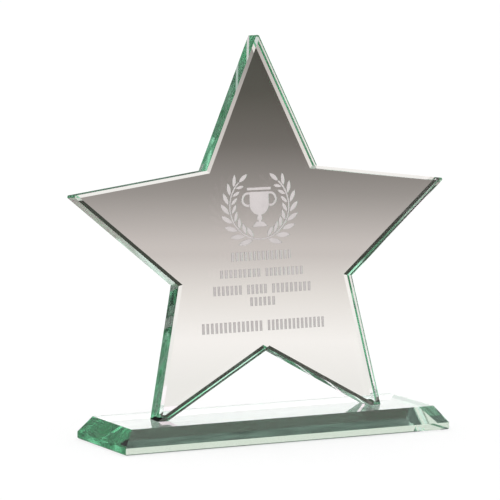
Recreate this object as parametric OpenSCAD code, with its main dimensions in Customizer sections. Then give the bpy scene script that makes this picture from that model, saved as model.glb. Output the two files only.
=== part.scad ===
// Free-standing glass star trophy. A five-pointed star plate leans back a little
// and is bonded by its two feet to a rectangular base with wide polished bevels.
// Millimetres, +Z up. The origin is on the table, under the middle of the base.
// The engraved face looks towards -Y, and +X is on its right.

/* [Glass] */
// Thickness of the sheet that the star and the base are cut from
glass_t = 12; // [10:0.5:15]

/* [Star] */
// Radius of the circle through the top point and the side points
tip_r = 112; // [105:1:120]
// Radius of the circle through the upper four notches, as a share of tip_r
notch_ratio = 0.47; // [0.46:0.002:0.5]
// Angle by which the side points sit lower than on a regular star
arm_droop = 1.25; // [0:0.25:2]
// Distance from the middle of the star to the points of its legs, before the feet are ground
leg_r = 110; // [108:0.5:113]
// Angle by which the legs stand wider apart than on a regular star
leg_spread = 0.4; // [0:0.1:1]
// Distance from the middle of the star to the notch between its legs
arch_r = 51.5; // [50:0.25:54]
// Distance that each free point is ground back along its edges
tip_setback = 1.5; // [0.5:0.1:2.5]
// Height ground off each lower point to make a foot
foot_trim = 3.9; // [2.7:0.1:6]
// Lean of the star back from upright, in degrees
lean = 4.5; // [1:0.5:6]
// Width of the narrow polished bevel around both faces of the star
arris_w = 1.5; // [1:0.1:2]
// Depth of that bevel into the thickness
arris_d = 1.2; // [0.8:0.1:1.6]
// Distance that the middle of the feet stands in front of the middle of the base
feet_forward = 2.3; // [-2:0.1:5]

/* [Base] */
// Length of the base
base_l = 186; // [180:1:220]
// Width of the base, front to back
base_w = 60; // [56:1:80]
// Height of the upright edge of the base, below its bevel
base_edge_h = 3.6; // [3:0.1:6]
// Width of the wide bevel around the top of the base
base_bevel_w = 6; // [4:0.5:8]
// Width of the small arris around the underside of the base
base_arris = 0.5; // [0.3:0.1:1]
// Thickness of the bond film under each foot
bond_t = 0.2; // [0.1:0.05:0.4]

/* [Engraving] */
// Depth of the sandblasted pockets
etch_depth = 0.4; // [0.2:0.1:0.8]
// Sideways place of the engraving, from the middle of the star
etch_x = -3; // [-4:0.5:4]
// Height of the middle of the wreath above the middle of the star
wreath_y = 22.5; // [20:0.5:25]
// Radius of the two stems of the wreath
wreath_r = 17; // [15:0.5:18]
// Leaf pairs on each branch of the wreath
leaf_pairs = 8; // [6:1:9]
// Distance from one upright stroke of the ruled rows to the next
stroke_pitch = 2.4; // [2:0.1:3]

/* [Hidden] */
$fn = 64;

glass_green = "#6fb39a";
bond_clear = "#e6efe9";
overrun = 3;

// The outline of the star: its points and its notches, clockwise from the top.
notch_r = tip_r * notch_ratio;
point_radii = [tip_r, tip_r, leg_r, leg_r, tip_r];
point_angles = [90, 18 - arm_droop, -54 + leg_spread, 234 - leg_spread, 162 + arm_droop];
notch_radii = [notch_r, notch_r, arch_r, notch_r, notch_r];
notch_angles = [54 - arm_droop, -18, -90, 198, 126 + arm_droop];
foot_points = [2, 3];
// The middle of the star, measured up the plate from the soles of its feet.
centre_h = leg_r * sin(54 - leg_spread) - foot_trim;
// How far each arm runs on into its neighbours, and past the middle.
arm_overlap = 4;
arm_root = 8;

sole_z = glass_t + bond_t;
foot_front_y = -feet_forward - glass_t / 2;

// The ruled rows: height of the middle, height of the strokes, and the lengths
// of the runs of strokes in the row.
run_gap = 3.4;
ruled_rows = [
    [-3, 4.6, [34]],
    [-11.7, 4.2, [22.7, 21.2]],
    [-20.2, 4.8, [16, 11, 22]],
    [-26.6, 4.4, [14]],
    [-39.2, 5.4, [34.3, 32.5]]
];

function on_circle(r, angle) = [r * cos(angle), r * sin(angle)];
function point_at(i) = on_circle(point_radii[i], point_angles[i]);
function notch_at(i) = on_circle(notch_radii[i], notch_angles[i]);
function towards(a, b, distance) = a + (b - a) * distance / norm(b - a);
function total(list, n) = n == 0 ? 0 : list[n - 1] + total(list, n - 1);

// ---- Star plate, drawn flat: front face at z = 0, star centre at the origin ----

// One bevel cutter along the edge from a to b, with the glass on its left.
module arris_cutter(a, b) {
    direction = b - a;
    translate([a.x, a.y, 0])
        rotate([0, 0, atan2(direction.y, direction.x)])
            translate([-overrun, 0, 0])
                rotate([90, 0, 90])
                    linear_extrude(norm(direction) + 2 * overrun)
                        polygon([
                            [1.5 * arris_w, 0.5 * arris_d],
                            [-0.5 * arris_w, 0.5 * arris_d],
                            [-0.5 * arris_w, -1.5 * arris_d]
                        ]);
}

// The same cutter at the front face and, mirrored, at the back face.
module arris_pair(a, b) {
    arris_cutter(a, b);
    translate([0, 0, -glass_t])
        mirror([0, 0, 1])
            arris_cutter(a, b);
}

// One arm: a blunted point whose two edges run on past their notches into the
// neighbouring arms, and a root past the middle of the star.
module star_arm(i) {
    point = point_at(i);
    right_notch = notch_at(i);
    left_notch = notch_at((i + 4) % 5);
    right_end = towards(right_notch, point, -arm_overlap);
    left_end = towards(left_notch, point, -arm_overlap);
    point_right = towards(point, right_notch, tip_setback);
    point_left = towards(point, left_notch, tip_setback);
    difference() {
        translate([0, 0, -glass_t])
            linear_extrude(glass_t)
                polygon([
                    right_end, point_right, point_left, left_end,
                    on_circle(-arm_root, point_angles[i])
                ]);
        arris_pair(right_end, point_right);
        arris_pair(point_right, point_left);
        arris_pair(point_left, left_end);
    }
}

module star_blank() {
    union() {
        for (i = [0:4]) star_arm(i);
    }
}

// Stands a flat-drawn shape on the base: leaning back, soles at sole_z.
module stand_up() {
    translate([0, foot_front_y, sole_z])
        rotate([90 - lean, 0, 0])
            translate([0, centre_h, 0])
                children();
}

// ---- Engraving, drawn flat around the middle of the wreath or of a row ----

// A pointed leaf that grows along +X from the origin.
module leaf(length, width) {
    bulge_r = (length * length / 4 + width * width / 4) / width;
    offset_y = bulge_r - width / 2;
    intersection() {
        translate([length / 2, offset_y]) circle(bulge_r);
        translate([length / 2, -offset_y]) circle(bulge_r);
    }
}

// The left branch of the wreath: a curved stem with leaves that get smaller
// upwards. Angles are round the middle of the wreath.
module laurel_branch() {
    stem_w = 0.8;
    stem_foot = 282;
    stem_top = 132;
    first_leaf = 256;
    last_leaf = 128;
    outer_leaf = [8.6, 2.8];
    inner_leaf = [6.4, 2.2];
    outer_turn = -60;
    inner_turn = -132;
    top_turn = -92;
    leaf_offset = 0.7;
    shrink = 0.3;
    step = (first_leaf - last_leaf) / leaf_pairs;
    intersection() {
        difference() {
            circle(wreath_r + stem_w / 2);
            circle(wreath_r - stem_w / 2);
        }
        polygon(concat(
            [[0, 0]],
            [for (k = [0:3]) on_circle(2 * wreath_r, stem_foot + k * (stem_top - stem_foot) / 3)]
        ));
    }
    for (k = [0:leaf_pairs - 1]) {
        angle = first_leaf - k * step;
        size = 1 - shrink * k / leaf_pairs;
        translate(on_circle(wreath_r + leaf_offset, angle))
            rotate(angle + outer_turn)
                leaf(outer_leaf.x * size, outer_leaf.y * size);
        translate(on_circle(wreath_r - leaf_offset, angle))
            rotate(angle + inner_turn)
                leaf(inner_leaf.x * size, inner_leaf.y * size);
    }
    translate(on_circle(wreath_r, stem_top))
        rotate(stem_top + top_turn)
            leaf(inner_leaf.x, inner_leaf.y);
}

// A plain two-handled cup, drawn from the rim down.
module cup() {
    rim = [14, 1.4];
    rim_y = 9;
    bowl_r = 5.6;
    bowl_y = 1;
    bowl_top = 7.5;
    stem = [1.8, 5];
    stem_y = -5.7;
    knob_r = 1.6;
    knob_y = -6;
    foot_top = [2.2, -8];
    foot_bottom = [4.4, -10.6];
    handle_at = [6.4, 3.6];
    handle_r = 3.8;
    handle_w = 1.2;
    translate([0, rim_y]) square(rim, center = true);
    translate([-bowl_r, bowl_y]) square([2 * bowl_r, bowl_top - bowl_y]);
    intersection() {
        translate([0, bowl_y]) circle(bowl_r);
        translate([-bowl_r, -bowl_r]) square([2 * bowl_r, bowl_r + bowl_y]);
    }
    translate([0, stem_y]) square(stem, center = true);
    translate([0, knob_y]) circle(knob_r);
    polygon([
        [-foot_top.x, foot_top.y], foot_top,
        foot_bottom, [-foot_bottom.x, foot_bottom.y]
    ]);
    for (side = [-1, 1])
        difference() {
            translate([side * handle_at.x, handle_at.y]) circle(handle_r);
            translate([side * handle_at.x, handle_at.y]) circle(handle_r - handle_w);
            translate([-bowl_r, -bowl_r]) square([2 * bowl_r, bowl_r + rim_y]);
        }
}

module emblem() {
    laurel_branch();
    mirror([1, 0]) laurel_branch();
    cup();
}

// A run of plain upright strokes that fills the given length.
module stroke_run(length, height) {
    strokes = round(length / stroke_pitch);
    stroke_w = length / (2 * strokes - 1);
    for (k = [0:strokes - 1])
        translate([2 * k * stroke_w, -height / 2])
            square([stroke_w, height]);
}

module ruled_row(height, runs) {
    row_length = total(runs, len(runs)) + run_gap * (len(runs) - 1);
    for (k = [0:len(runs) - 1])
        translate([total(runs, k) + k * run_gap - row_length / 2, 0])
            stroke_run(runs[k], height);
}

module etched_pockets() {
    translate([0, 0, -etch_depth])
        linear_extrude(etch_depth + overrun)
            translate([etch_x, 0]) {
                translate([0, wreath_y]) emblem();
                for (row = ruled_rows)
                    translate([0, row[0]])
                        ruled_row(row[1], row[2]);
            }
}

// ---- The pieces, where they stand ----

// Bevels the front and back edges of the two level soles.
module sole_arris_cutters() {
    slope = [sin(lean), cos(lean)];
    back_y = foot_front_y + glass_t / cos(lean);
    bevels = [
        [[foot_front_y, sole_z], arris_d],
        [[back_y, sole_z], -arris_d]
    ];
    for (bevel = bevels) {
        corner = bevel[0];
        up = corner + arris_w * slope;
        along = corner + [bevel[1], 0];
        reach = (up - along) / 2;
        translate([-tip_r, 0, 0])
            rotate([90, 0, 90])
                linear_extrude(2 * tip_r)
                    polygon([up + reach, along - reach, corner - [bevel[1], arris_w]]);
    }
}

module star_plate() {
    color(glass_green, 0.6)
        difference() {
            stand_up() difference() {
                star_blank();
                etched_pockets();
            }
            translate([-tip_r, -tip_r, sole_z - 2 * glass_t])
                cube([2 * tip_r, 2 * tip_r, 2 * glass_t]);
            sole_arris_cutters();
        }
}

// The cured film fills the gap under one foot, as wide as the level sole.
module bond_film(side) {
    color(bond_clear, 0.8)
        intersection() {
            stand_up() star_arm(foot_points[side]);
            translate([-tip_r, foot_front_y + arris_d, glass_t])
                cube([2 * tip_r, glass_t / cos(lean) - 2 * arris_d, bond_t]);
        }
}

// The base's outline seen along its length or its width: right side, then left.
function base_side(half) = [
    [half - base_arris, 0], [half, base_arris],
    [half, base_edge_h], [half - base_bevel_w, glass_t]
];
function base_outline(half) = concat(
    base_side(half),
    [for (k = [3:-1:0]) [-base_side(half)[k].x, base_side(half)[k].y]]
);

module base_prism(width, length) {
    rotate([90, 0, 0])
        translate([0, 0, -length / 2])
            linear_extrude(length)
                polygon(base_outline(width / 2));
}

module base_plinth() {
    color(glass_green, 0.6)
        intersection() {
            base_prism(base_l, base_w);
            rotate([0, 0, 90]) base_prism(base_w, base_l);
        }
}

star_plate();
base_plinth();
bond_film(1);  // bond_film_left
bond_film(0);  // bond_film_right
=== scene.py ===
"""Looks of the glass star trophy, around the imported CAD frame. Metres, +Z up, front towards -Y."""
import math

import bmesh
import bpy
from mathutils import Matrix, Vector


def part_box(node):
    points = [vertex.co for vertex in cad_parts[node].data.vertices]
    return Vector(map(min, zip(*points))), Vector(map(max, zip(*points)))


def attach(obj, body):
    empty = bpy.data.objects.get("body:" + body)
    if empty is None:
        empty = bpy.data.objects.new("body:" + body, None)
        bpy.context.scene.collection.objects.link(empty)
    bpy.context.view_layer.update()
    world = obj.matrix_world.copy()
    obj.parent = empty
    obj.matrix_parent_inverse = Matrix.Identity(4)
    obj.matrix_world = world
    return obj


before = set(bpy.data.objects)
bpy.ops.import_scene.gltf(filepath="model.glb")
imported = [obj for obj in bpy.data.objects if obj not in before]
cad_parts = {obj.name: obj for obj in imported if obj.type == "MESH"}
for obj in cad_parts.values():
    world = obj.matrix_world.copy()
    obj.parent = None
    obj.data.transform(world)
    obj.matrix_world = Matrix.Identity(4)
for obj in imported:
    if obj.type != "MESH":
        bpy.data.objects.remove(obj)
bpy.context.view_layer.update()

MM = 0.001

# ---- Camera ----
CAMERA_AZIMUTH = -26.48
CAMERA_ELEVATION = 6.61
CAMERA_TARGET = Vector((-0.0085, 0.0, 0.0965))
CAMERA_DISTANCE = 1.945
CAMERA_LENS_MM = 271.6

# ---- Glass and engraving ----
JADE = (0.09, 0.79, 0.45)
JADE_DENSITY = 9.5
BOND_TINT = (0.9, 0.95, 0.92)
BOND_DENSITY = 2.0
STAR_EDGES = (0.06, 0.16)
BASE_EDGES = (0.02, 0.13)
BASE_HAZE = 0.012
FINE_RIPPLE = (35, 35, 35)
FINE_RIPPLE_HEIGHT = 0.006 * MM
BASE_RIPPLE = (28, 160, 160)
BASE_RIPPLE_HEIGHT = 0.016 * MM
ETCH_DEPTH = 0.4 * MM
FROST_THICKNESS = 0.25 * MM
FROST_SINK = 0.02 * MM
FROST_GREYS = [(0.3, (0.56, 0.52, 0.515)), (0.7, (0.68, 0.635, 0.63))]

# ---- Stage. A stop is a height up the bowl and the bowl's colour there. ----
FLOOR_DROP = 0.4 * MM
SHADOW_FADE = 0.6
BOWL_FLOOR = 0.106
BOWL_RADIUS = 0.80
BOWL_HEIGHT = 0.50
BACKDROP_AZIMUTH = 70
BOWL_STOPS = [
    (-0.62, (1.00, 0.90, 0.90)), (-0.45, (1.10, 0.975, 0.98)), (-0.235, (0.92, 0.80, 0.79)),
    (0.0074, (0.68, 0.57, 0.565)), (0.0445, (0.38, 0.315, 0.31)), (0.0815, (0.187, 0.150, 0.144)),
    (0.1186, (0.105, 0.083, 0.076)), (0.1555, (0.080, 0.066, 0.060)), (0.20, (0.055, 0.046, 0.041)),
    (0.34, (0.05, 0.042, 0.038)), (0.40, (0.22, 0.36, 0.28)), (0.5, (0.32, 0.46, 0.38)),
]
BOWL_SIDE_STOPS = [
    (-0.62, (0.80, 0.78, 0.78)), (-0.35, (0.42, 0.48, 0.45)), (-0.16, (0.18, 0.28, 0.22)),
    (0.05, (0.11, 0.19, 0.14)), (0.20, (0.15, 0.30, 0.205)), (0.35, (0.20, 0.39, 0.27)),
    (0.5, (0.30, 0.45, 0.36)),
]
BOWL_DEEP_STOPS = [
    (-0.62, (0.17, 0.27, 0.20)), (0.0, (0.20, 0.30, 0.23)), (0.2, (0.24, 0.33, 0.27)),
    (0.5, (0.38, 0.47, 0.42)),
]
KERB_GAP = 5 * MM
KERB_HEIGHT = 6.5 * MM
KERB_COLOUR = (1.25, 0.93, 0.98)
# Painted shadow: a dark ring on the floor under the base's rim, seen only through the glass.
PAINTED_SHADOW_WIDTH = 7 * MM
PAINTED_SHADOW_GREYS = (0.05, 0.24)
REFLECTOR_X = (-0.065, 0.19)
REFLECTOR_Y = 0.10
REFLECTOR_HEIGHT = 0.045
REFLECTOR_COLOUR = (1.6, 1.6, 1.6)
PAPER_X = (-0.15, 0.30)
PAPER_Y = (0.12, 0.60)
PAPER_COLOUR = (1.05, 0.70, 0.82)

# ---- Sky. Light that bounced more than LONG_WAY_DEPTH times has its own colours. ----
LONG_WAY_DEPTH = 3.5
LONG_WAY_SKY = (1.5, 1.12, 1.3, 1)
SCATTERED_SKY = (1.25, 1.05, 1.13, 1)
SKY_PLAIN = 1.15
SKY_HORIZON = 0.12
SKY_ZENITH_REFLECTED = 0.45
SKY_ZENITH_REFRACTED = 1.35

WHITE = (1, 1, 1, 1)


# ---- Node helpers ----
def new_tree(name):
    material = bpy.data.materials.new(name)
    material.use_nodes = True
    material.node_tree.nodes.clear()
    return material, material.node_tree


def add(tree, kind, inputs=(), **settings):
    """Adds a node. Each input is a value or an output socket of another node."""
    node = tree.nodes.new(kind)
    for key, value in settings.items():
        setattr(node, key, value)
    for key, value in dict(inputs).items():
        if isinstance(value, bpy.types.NodeSocket):
            tree.links.new(value, node.inputs[key])
        else:
            node.inputs[key].default_value = value
    return node


def surface_output(tree, shader):
    return add(tree, "ShaderNodeOutputMaterial", {"Surface": shader})


def maths(tree, operation, a, b=0.0):
    return add(tree, "ShaderNodeMath", {0: a, 1: b}, operation=operation).outputs[0]


def spread(tree, value, low, high, to_low=0.0, to_high=1.0):
    """The value rescaled from one range to another, held at the ends."""
    inputs = {"Value": value, 1: low, 2: high, 3: to_low, 4: to_high}
    return add(tree, "ShaderNodeMapRange", inputs).outputs[0]


def noise(tree, place, scale, detail):
    return add(tree, "ShaderNodeTexNoise", {"Vector": place, "Scale": scale, "Detail": detail}).outputs[0]


def stretched(tree, place, factors):
    inputs = {0: place, 1: factors}
    return add(tree, "ShaderNodeVectorMath", inputs, operation="MULTIPLY").outputs[0]


def dot(tree, a, b):
    return add(tree, "ShaderNodeVectorMath", {0: a, 1: b}, operation="DOT_PRODUCT").outputs["Value"]


def up(tree, vector):
    return add(tree, "ShaderNodeSeparateXYZ", {0: vector}).outputs["Z"]


def mixed_colour(tree, factor, a, b):
    return add(tree, "ShaderNodeMix", {0: factor, 6: a, 7: b}, data_type="RGBA").outputs[2]


def emission(tree, colour=WHITE, strength=1.0):
    return add(tree, "ShaderNodeEmission", {"Color": colour, "Strength": strength}).outputs[0]


def ramp(tree, factor, stops):
    node = add(tree, "ShaderNodeValToRGB", {"Fac": factor})
    elements = node.color_ramp.elements
    while len(elements) < len(stops):
        elements.new(0.5)
    for element, (position, colour) in zip(elements, stops):
        element.position = position
        element.color = (*colour, 1)
    return node.outputs["Color"]


def long_way(tree, near, far):
    """One colour for light that crosses the glass directly, another after many bounces inside it."""
    depth = add(tree, "ShaderNodeLightPath").outputs["Ray Depth"]
    return mixed_colour(tree, maths(tree, "GREATER_THAN", depth, LONG_WAY_DEPTH), near, far)


# ---- Materials of the trophy ----
def glass_material(name, tint, ripple, ripple_height, sheet_axis, edges, haze=0.0):
    """Clear tinted glass, whose ground edges are less perfect than the faces of the sheet.

    tint is an absorption colour and density. ripple is the number of polishing waves per metre
    along X, Y and Z. edges is the range of the ground edges' roughness.
    """
    material, tree = new_tree(name)
    coordinates = add(tree, "ShaderNodeTexCoord")
    place = coordinates.outputs["Object"]
    facing = maths(tree, "ABSOLUTE", dot(tree, coordinates.outputs["Normal"], sheet_axis))
    ground = maths(tree, "LESS_THAN", facing, 0.95)
    smear = spread(tree, noise(tree, place, 22.0, 5.0), 0.35, 0.75, *edges)
    wave = noise(tree, stretched(tree, place, ripple), 1.0, 1.0)
    bump = add(tree, "ShaderNodeBump", {"Height": wave, "Strength": 1.0, "Distance": ripple_height})
    shader = add(tree, "ShaderNodeBsdfPrincipled", {
        "Base Color": WHITE, "Roughness": maths(tree, "MULTIPLY", ground, smear), "IOR": 1.52,
        "Transmission Weight": 1.0 - haze, "Normal": bump.outputs[0],
    })
    colour, amount = tint
    volume = add(tree, "ShaderNodeVolumeAbsorption", {"Color": (*colour, 1), "Density": amount})
    output = surface_output(tree, shader.outputs[0])
    tree.links.new(volume.outputs[0], output.inputs["Volume"])
    return material


def frost_material():
    """Sandblasted glass: pale grey, with fine grain and slow clouds, and painted light that makes it
    lighter towards the top.
    """
    material, tree = new_tree("frosted_etching")
    place = add(tree, "ShaderNodeTexCoord").outputs["Object"]
    grain, cloud = noise(tree, place, 2600.0, 3.0), noise(tree, place, 120.0, 3.0)
    blend = maths(tree, "ADD", maths(tree, "MULTIPLY", grain, 0.6), maths(tree, "MULTIPLY", cloud, 0.4))
    grey = ramp(tree, blend, FROST_GREYS)
    # Painted light: the grey is scaled from 0.84 low down to 1.0 near the top, as if lit from above.
    amount = spread(tree, up(tree, place), 0.07, 0.125, 0.84, 1.0)
    colour = add(tree, "ShaderNodeVectorMath", {0: grey, "Scale": amount}, operation="SCALE")
    bump = add(tree, "ShaderNodeBump", {"Height": grain, "Strength": 0.4, "Distance": 0.05 * MM})
    shader = add(tree, "ShaderNodeBsdfPrincipled", {
        "Base Color": colour.outputs[0], "Roughness": 0.85, "Specular IOR Level": 0.3,
        "Normal": bump.outputs[0],
    })
    surface_output(tree, shader.outputs[0])
    return material


def dress(node, material):
    """Gives a CAD node its material in place."""
    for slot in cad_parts[node].material_slots:
        slot.material = material


def dress_glass():
    jade, clear = (JADE, JADE_DENSITY), (BOND_TINT, BOND_DENSITY)
    fine = (FINE_RIPPLE, FINE_RIPPLE_HEIGHT)
    broad = (BASE_RIPPLE, BASE_RIPPLE_HEIGHT)
    bond = glass_material("clear_bond", clear, *fine, (0, 0, 1), BASE_EDGES)
    dress("star_plate", glass_material("jade_star_glass", jade, *fine, (0, 1, 0), STAR_EDGES))
    dress("base_plinth", glass_material("jade_base_glass", jade, *broad, (0, 0, 1), BASE_EDGES, BASE_HAZE))
    dress("bond_film_left", bond)
    dress("bond_film_right", bond)


# ---- The frosted engraving ----
def new_data(name, mesh):
    data = bpy.data.meshes.new(name)
    mesh.to_mesh(data)
    mesh.free()
    return data


def front_plane(mesh):
    """A point on the star's front face and its normal: the largest flat area that faces -Y."""
    areas = {}
    for face in mesh.faces:
        if face.normal.y < 0:
            key = tuple(round(c, 3) for c in face.normal)
            areas.setdefault(key, []).append(face)
    faces = max(areas.values(), key=lambda group: sum(f.calc_area() for f in group))
    largest = max(faces, key=lambda f: f.calc_area())
    return largest.calc_center_median(), largest.normal.copy()


def keep_pocket_floors(mesh, point, normal):
    def is_floor(face):
        depth = (point - face.calc_center_median()).dot(normal)
        return face.normal.dot(normal) > 0.999 and abs(depth - ETCH_DEPTH) < 0.1 * ETCH_DEPTH

    rest = [face for face in mesh.faces if not is_floor(face)]
    bmesh.ops.delete(mesh, geom=rest, context="FACES")


def thicken(mesh, normal):
    raised = bmesh.ops.extrude_face_region(mesh, geom=mesh.faces[:])
    top = {item for item in raised["geom"] if isinstance(item, bmesh.types.BMVert)}
    for vert in mesh.verts:
        vert.co += ((FROST_THICKNESS if vert in top else 0) - FROST_SINK) * normal
    bmesh.ops.recalc_face_normals(mesh, faces=mesh.faces[:])
    for face in mesh.faces:
        face.smooth = False


def etched_artwork():
    """Thin frosted slabs that lie on the floors of the star's engraved pockets."""
    mesh = bmesh.new()
    mesh.from_mesh(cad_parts["star_plate"].data)
    bmesh.ops.remove_doubles(mesh, verts=mesh.verts, dist=1e-6)
    mesh.normal_update()
    point, normal = front_plane(mesh)
    keep_pocket_floors(mesh, point, normal)
    thicken(mesh, normal)
    data = new_data("etched_artwork", mesh)
    data.materials.append(frost_material())
    piece = bpy.data.objects.new("etched_artwork", data)
    bpy.context.scene.collection.objects.link(piece)
    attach(piece, "root")


# ---- Shapes of the stage ----
def card(name, x_range, near, far):
    """A rectangle from one line of constant Y and Z to another."""
    mesh = bmesh.new()
    left, right = x_range
    corners = [(left, *near), (right, *near), (right, *far), (left, *far)]
    mesh.faces.new([mesh.verts.new(corner) for corner in corners])
    return new_data(name, mesh)


def band(name, profile, ring):
    """A mesh swept round a closed plan: ring(step) gives the plan's corners for a profile step."""
    mesh = bmesh.new()
    rings = []
    for step in profile:
        rings.append([mesh.verts.new(corner) for corner in ring(step)])
    for low, high in zip(rings, rings[1:]):
        for k in range(len(low)):
            j = (k + 1) % len(low)
            mesh.faces.new((low[k], low[j], high[j], high[k]))
    return new_data(name, mesh)


def round_ring(step, segments=160):
    radius, height = step
    turns = [2 * math.pi * k / segments for k in range(segments)]
    return [(radius * math.cos(a), radius * math.sin(a), height) for a in turns]


def base_ring(step):
    """The base's plan, grown by an offset, at a height."""
    offset, height = step
    low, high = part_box("base_plinth")
    x, y = high[0] + offset, high[1] + offset
    return [(-x, -y, height), (x, -y, height), (x, y, height), (-x, y, height)]


# ---- Stage ----
def stage_object(name, data, material):
    obj = bpy.data.objects.new(name, data)
    data.materials.append(material)
    bpy.context.scene.collection.objects.link(obj)
    return obj


def unseen(obj, glass=False, mirror=False):
    """Hides a stage object from the camera and the floor, and keeps it in the glass or in reflections."""
    obj.visible_camera = False
    obj.visible_diffuse = False
    obj.visible_shadow = False
    obj.visible_transmission = glass
    obj.visible_glossy = mirror


def make_floor():
    """A pale floor, on which the trophy's shadow is faint."""
    material, tree = new_tree("pale_floor")
    camera = add(tree, "ShaderNodeLightPath").outputs["Is Camera Ray"]
    paper = add(tree, "ShaderNodeBsdfDiffuse", {"Color": (0.92, 0.92, 0.92, 1)}).outputs[0]
    faded = maths(tree, "MULTIPLY", camera, SHADOW_FADE)
    blend = add(tree, "ShaderNodeMixShader", {0: faded, 1: paper, 2: emission(tree)}).outputs[0]
    surface_output(tree, blend)
    mesh = bmesh.new()
    bmesh.ops.create_circle(mesh, cap_ends=True, segments=64, radius=20)
    floor = stage_object("floor", new_data("floor", mesh), material)
    floor.location.z = -FLOOR_DROP
    floor.visible_glossy = False


def climb_ramp(tree, climb, stops):
    """A colour ramp whose stops are heights up the bowl, measured along its floor and then its wall."""
    first, last = stops[0][0], stops[-1][0]
    scaled = [((u - first) / (last - first), colour) for u, colour in stops]
    return ramp(tree, spread(tree, climb, first, last), scaled)


def bowl_material():
    """Darkens from the floor upwards, more on the side behind the trophy."""
    material, tree = new_tree("bowl")
    place = add(tree, "ShaderNodeNewGeometry").outputs["Position"]
    flat = stretched(tree, place, (1, 1, 0))
    radius = add(tree, "ShaderNodeVectorMath", {0: flat}, operation="LENGTH").outputs["Value"]
    climb = maths(tree, "SUBTRACT", maths(tree, "ADD", up(tree, place), radius), BOWL_RADIUS)
    turn = math.radians(BACKDROP_AZIMUTH)
    towards = dot(tree, flat, (math.cos(turn), math.sin(turn), 0))
    behind = spread(tree, maths(tree, "DIVIDE", towards, radius), 0.66, 0.76)
    side, backdrop = climb_ramp(tree, climb, BOWL_SIDE_STOPS), climb_ramp(tree, climb, BOWL_STOPS)
    deep = climb_ramp(tree, climb, BOWL_DEEP_STOPS)
    graded = long_way(tree, mixed_colour(tree, behind, side, backdrop), deep)
    bounced = add(tree, "ShaderNodeLightPath").outputs["Diffuse Depth"]
    shown, plain = emission(tree, graded), emission(tree, strength=1.1)
    surface_output(tree, add(tree, "ShaderNodeMixShader", {0: bounced, 1: shown, 2: plain}).outputs[0])
    return material


def make_bowl():
    """A surround that stands in for a studio's grey sweep behind clear glass."""
    profile = [(BOWL_FLOOR, 0.1 * MM), (BOWL_RADIUS, 0.1 * MM), (BOWL_RADIUS, BOWL_HEIGHT)]
    unseen(stage_object("bowl", band("bowl", profile, round_ring), bowl_material()), glass=True)


def glow_material(name, colour):
    material, tree = new_tree(name)
    surface_output(tree, emission(tree, (*colour, 1)))
    return material


def streaked_shadow_material(name, greys):
    """Painted shadow: uneven glowing grey, in streaks along X."""
    material, tree = new_tree(name)
    place = add(tree, "ShaderNodeNewGeometry").outputs["Position"]
    streak = noise(tree, stretched(tree, place, (45, 350, 0)), 1.0, 3.0)
    surface_output(tree, emission(tree, strength=spread(tree, streak, 0.3, 0.7, *greys)))
    return material


def make_cards():
    """Small cards of a product photographer's set, and a dark ring under the base's rim that is a painted
    shadow, each seen only in the glass or in reflections.
    """
    kerb = band("kerb", [(KERB_GAP, 0), (KERB_GAP, KERB_HEIGHT)], base_ring)
    unseen(stage_object("kerb", kerb, glow_material("kerb", KERB_COLOUR)), glass=True)
    # Painted shadow: a dark streaky ring under the base's rim, seen only through the glass, stands in for
    # the contact shadow there.
    painted_shadow_ring = band("painted_shadow_ring", [(-PAINTED_SHADOW_WIDTH, -0.2 * MM), (-1 * MM, -0.2 * MM)], base_ring)
    unseen(stage_object("painted_shadow_ring", painted_shadow_ring, streaked_shadow_material("painted_shadow_ring", PAINTED_SHADOW_GREYS)), glass=True)
    reflector = card("reflector", REFLECTOR_X, (REFLECTOR_Y, 0), (REFLECTOR_Y, REFLECTOR_HEIGHT))
    unseen(stage_object("reflector", reflector, glow_material("reflector", REFLECTOR_COLOUR)), mirror=True)
    paper = card("paper", PAPER_X, (PAPER_Y[0], 0), (PAPER_Y[1], 0))
    unseen(stage_object("paper", paper, glow_material("paper", PAPER_COLOUR)), mirror=True)


def make_world():
    """White all round, but darker near the horizon in the glass's own reflections."""
    world = bpy.data.worlds.new("studio")
    world.use_nodes = True
    tree = world.node_tree
    tree.nodes.clear()
    height = up(tree, add(tree, "ShaderNodeTexCoord").outputs["Generated"])
    path = add(tree, "ShaderNodeLightPath").outputs
    zenith = spread(tree, path["Is Transmission Ray"], 0.0, 1.0, SKY_ZENITH_REFLECTED, SKY_ZENITH_REFRACTED)
    sharp = spread(tree, height, 0.25, 0.65, SKY_HORIZON, zenith)
    strength = add(tree, "ShaderNodeMix", {0: path["Is Glossy Ray"], 2: SKY_PLAIN, 3: sharp}).outputs[0]
    scattered = maths(tree, "GREATER_THAN", path["Diffuse Depth"], 0.5)
    tint = mixed_colour(tree, scattered, LONG_WAY_SKY, SCATTERED_SKY)
    colour = long_way(tree, WHITE, tint)
    sky = add(tree, "ShaderNodeBackground", {"Color": colour, "Strength": strength}).outputs[0]
    add(tree, "ShaderNodeOutputWorld", {"Surface": sky})
    bpy.context.scene.world = world


# ---- Camera and quality ----
def make_camera():
    azimuth, elevation = math.radians(CAMERA_AZIMUTH), math.radians(CAMERA_ELEVATION)
    back = Vector((
        math.sin(azimuth) * math.cos(elevation),
        -math.cos(azimuth) * math.cos(elevation),
        math.sin(elevation),
    ))
    data = bpy.data.cameras.new("camera")
    data.lens = CAMERA_LENS_MM
    data.sensor_width = 36
    data.clip_start = 0.01
    data.clip_end = 100
    camera = bpy.data.objects.new("camera", data)
    camera.location = CAMERA_TARGET + CAMERA_DISTANCE * back
    camera.rotation_euler = (-back).to_track_quat("-Z", "Y").to_euler()
    bpy.context.scene.collection.objects.link(camera)
    bpy.context.scene.camera = camera


def set_quality():
    scene = bpy.context.scene
    scene.view_settings.view_transform = "Standard"
    scene.cycles.max_bounces = 24
    scene.cycles.transmission_bounces = 24
    scene.cycles.glossy_bounces = 16


make_camera()
make_floor()
make_bowl()
make_cards()
make_world()
set_quality()
dress_glass()
etched_artwork()
